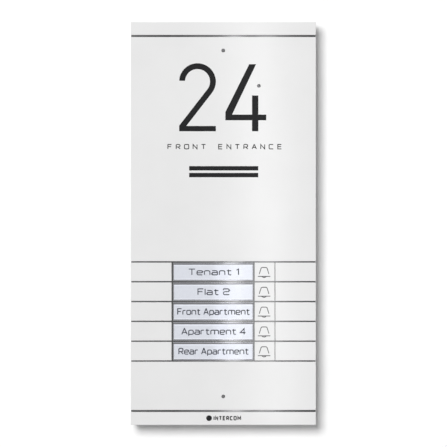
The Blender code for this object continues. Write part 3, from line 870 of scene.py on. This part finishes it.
def turned_shape(name, x, z, profile):
    """Turns an open (radius, depth) line that starts and ends on the axis about (x, z)."""
    mesh = bmesh.new()
    turns = [2 * math.pi * i / DOME_STEPS for i in range(DOME_STEPS)]
    rings = []
    for radius, depth in profile:
        if radius == 0:
            rings.append([mesh.verts.new((x, -depth, z))] * DOME_STEPS)
            continue
        places = [(x + radius * math.cos(a), -depth, z + radius * math.sin(a)) for a in turns]
        rings.append([mesh.verts.new(place) for place in places])
    for ring, following in zip(rings, rings[1:]):
        for i in range(DOME_STEPS):
            j = (i + 1) % DOME_STEPS
            corners = dict.fromkeys((ring[i], ring[j], following[j], following[i]))
            mesh.faces.new(list(corners))
    piece = new_piece(name, mesh)
    piece.data.shade_smooth()
    return piece


def make_domes(material):
    """The keys' return domes, in place of the CAD ones."""
    for row in range(1, len(LABELS) + 1):
        low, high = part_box(f"key_dome_{row}")
        centre = (low + high) / 2
        profile = dome_profile(-high.y, -low.y, (high.x - low.x) / 2, DOME_CROWN)
        dome = turned_shape(f"dome_{row}", centre.x, centre.z, profile)
        dome.data.materials.append(material)
        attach(dome, "panel")
        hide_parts(f"key_dome_{row}")
        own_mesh(dome)


# Studio


def add_sheet(name, corners, faces, shade):
    """A flat part of the studio, painted pale on its front and clear from behind."""
    data = bpy.data.meshes.new(name)
    data.from_pydata(corners, [], faces)
    sheet = bpy.data.objects.new(name, data)
    bpy.context.scene.collection.objects.link(sheet)
    paint = Material(f"{name}_paint", 0.9)
    clouds = paint.noise(20, detail=3)
    paint.colour(clouds, (shade - PAINT_SPREAD,) * 3, (shade + PAINT_SPREAD,) * 3)
    paint.set(Specular_IOR_Level=0.0)
    side = paint.nodes.new("ShaderNodeNewGeometry")
    through = paint.nodes.new("ShaderNodeBsdfTransparent")
    paint.mix_to_output(side.outputs["Backfacing"], paint.shader, through)
    data.materials.append(paint.material)
    return sheet


def upright(left, right, bottom, top, y):
    """The corners of an upright rectangle in space, at one depth."""
    return [(x, y, z) for x, z in rectangle(left, right, bottom, top)]


def make_stage():
    """A pale wall that is open behind the panel, and a pale floor below."""
    low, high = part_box("back_housing")
    outer = upright(-STAGE_REACH, STAGE_REACH, -STAGE_REACH, STAGE_REACH, WALL_Y)
    inner = upright(
        low.x + WALL_INSET,
        high.x - WALL_INSET,
        low.z + WALL_INSET,
        high.z - WALL_INSET,
        WALL_Y,
    )
    around = [(i, (i + 1) % 4, 4 + (i + 1) % 4, 4 + i) for i in range(4)]
    add_sheet("wall", outer + inner, around, WALL_SHADE)

    places = ((-1, WALL_Y), (-1, FLOOR_FRONT), (1, FLOOR_FRONT), (1, WALL_Y))
    corners = [(side * STAGE_REACH, y, FLOOR_Z) for side, y in places]
    floor = add_sheet("floor", corners, [(0, 1, 2, 3)], FLOOR_SHADE)
    floor.visible_diffuse = False
    floor.visible_glossy = False


def make_surround():
    """An even surround, stronger behind the wall. The camera sees it as plain white."""
    world = bpy.data.worlds.new("studio")
    bpy.context.scene.world = world
    world.use_nodes = True
    nodes = world.node_tree.nodes
    links = world.node_tree.links
    lit = nodes["Background"]
    seen = nodes.new("ShaderNodeBackground")
    direction = nodes.new("ShaderNodeTexCoord")
    split = nodes.new("ShaderNodeSeparateXYZ")
    strength = nodes.new("ShaderNodeMapRange")
    ray = nodes.new("ShaderNodeLightPath")
    mix = nodes.new("ShaderNodeMixShader")
    strength.inputs["From Min"].default_value = -SURROUND_BLEND
    strength.inputs["From Max"].default_value = SURROUND_BLEND
    strength.inputs["To Min"].default_value = FRONT_SURROUND
    strength.inputs["To Max"].default_value = BACK_SURROUND
    lit.inputs["Color"].default_value = (1, 1, 1, 1)
    seen.inputs["Color"].default_value = (1, 1, 1, 1)
    links.new(direction.outputs["Generated"], split.inputs["Vector"])
    links.new(split.outputs["Y"], strength.inputs["Value"])
    links.new(strength.outputs["Result"], lit.inputs["Strength"])
    links.new(ray.outputs["Is Camera Ray"], mix.inputs["Fac"])
    links.new(lit.outputs["Background"], mix.inputs[1])
    links.new(seen.outputs["Background"], mix.inputs[2])
    links.new(mix.outputs["Shader"], nodes["World Output"].inputs["Surface"])


def add_area_light(name, place, target, size, radiance):
    """A rectangle of even brightness, aimed at a point."""
    lamp = bpy.data.lights.new(name, "AREA")
    lamp.shape = "RECTANGLE"
    lamp.size, lamp.size_y = size
    lamp.energy = radiance * math.pi * size[0] * size[1]
    made = bpy.data.objects.new(name, lamp)
    bpy.context.scene.collection.objects.link(made)
    made.location = place
    made.rotation_euler = (Vector(target) - Vector(place)).to_track_quat("-Z", "Y").to_euler()
    made.visible_camera = False
    return made


def make_lights():
    """A key from the upper left, a soft upright band at the right and two strips for the metal."""
    key = add_area_light(
        "key", place=(-2.0, -6.4, 2.3), target=(0, 0, 0), size=(3.2, 3.1), radiance=14.3
    )
    key.visible_glossy = False

    band = add_area_light(
        "band",
        place=(BAND_X, BAND_Y, 0),
        target=(BAND_X, 0, 0),
        size=(0.012, 0.37),
        radiance=0.72,
    )
    band.rotation_euler.rotate_axis("Z", math.radians(BAND_TILT_DEGREES))
    band.visible_glossy = False

    for name, x, width, radiance in STRIPS:
        size = (width, STRIP_HEIGHT)
        strip = add_area_light(name, (x, STRIP_Y, 0), (x, 0, 0), size, radiance)
        strip.visible_diffuse = False


def make_camera():
    """A long lens straight in front, framing the panel as a flat elevation."""
    lens = bpy.data.cameras.new("camera")
    lens.lens = FOCAL_LENGTH_MM
    lens.sensor_width = SENSOR_WIDTH_MM
    lens.clip_start = 0.1
    lens.clip_end = 50
    picture_width = (cad_high.z - cad_low.z) * PICTURE_TO_PANEL
    distance = picture_width * FOCAL_LENGTH_MM / SENSOR_WIDTH_MM
    camera = bpy.data.objects.new("camera", lens)
    camera.location = (CAMERA_X, cad_low.y - distance, 0)
    camera.rotation_euler = (math.pi / 2, 0, 0)
    bpy.context.scene.collection.objects.link(camera)
    bpy.context.scene.camera = camera
    bpy.context.scene.view_settings.view_transform = "Standard"


finishes = dress_frame()
make_print()
make_domes(finishes["silicone"])
make_stage()
make_surround()
make_lights()
make_camera()
